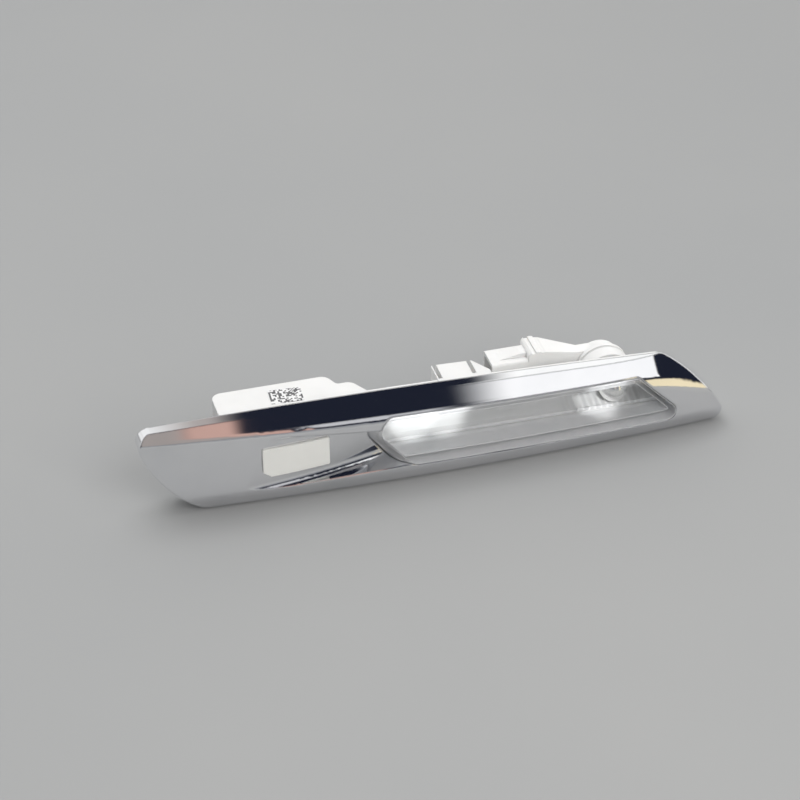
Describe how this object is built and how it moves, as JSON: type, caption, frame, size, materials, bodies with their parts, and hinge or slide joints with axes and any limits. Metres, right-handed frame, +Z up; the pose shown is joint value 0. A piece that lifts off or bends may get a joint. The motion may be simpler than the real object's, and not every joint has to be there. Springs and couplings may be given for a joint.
{
  "type": "side marker lamp",
  "caption": "Slim car wing side marker lamp: bowed chrome blade trim with a blank badge recess, clear lens, reflector, white housing and twist-lock bulb holder.",
  "frame": {"origin": "centre of the underside of the lamp's box: the lamp stands on its trim's lower edge and the two hooks", "axes": "+X along the lamp, to the right as seen from outside the car; +Y into the car; +Z up"},
  "size_m": [0.205, 0.0358, 0.0298],
  "materials": {
    "bright_chrome": "mirror-bright chrome plating on plastic",
    "clear_lens": "clear moulded acrylic, polished",
    "aluminised": "vacuum-aluminised plastic, slightly soft",
    "white_plastic": "white moulded plastic, fine satin",
    "satin_badge": "pale satin plate with a bright edge",
    "printed_label": "white label with a dark cell print",
    "silvered_glass": "silver-coated bulb glass",
    "holder_plastic": "white moulded plastic, fine satin",
    "contact_metal": "tinned spring strip",
    "seal_rubber": "black rubber"
  },
  "bodies": {
    "root": {"chrome_trim": "bright_chrome", "lens": "clear_lens", "reflector": "aluminised", "housing": "white_plastic", "badge_plate": "satin_badge", "code_label": "printed_label", "bulb": "silvered_glass", "bulb_holder": "holder_plastic", "contact_upper": "contact_metal", "contact_lower": "contact_metal", "holder_seal": "seal_rubber", "vent_cap": "seal_rubber"}
  },
  "joints": []
}
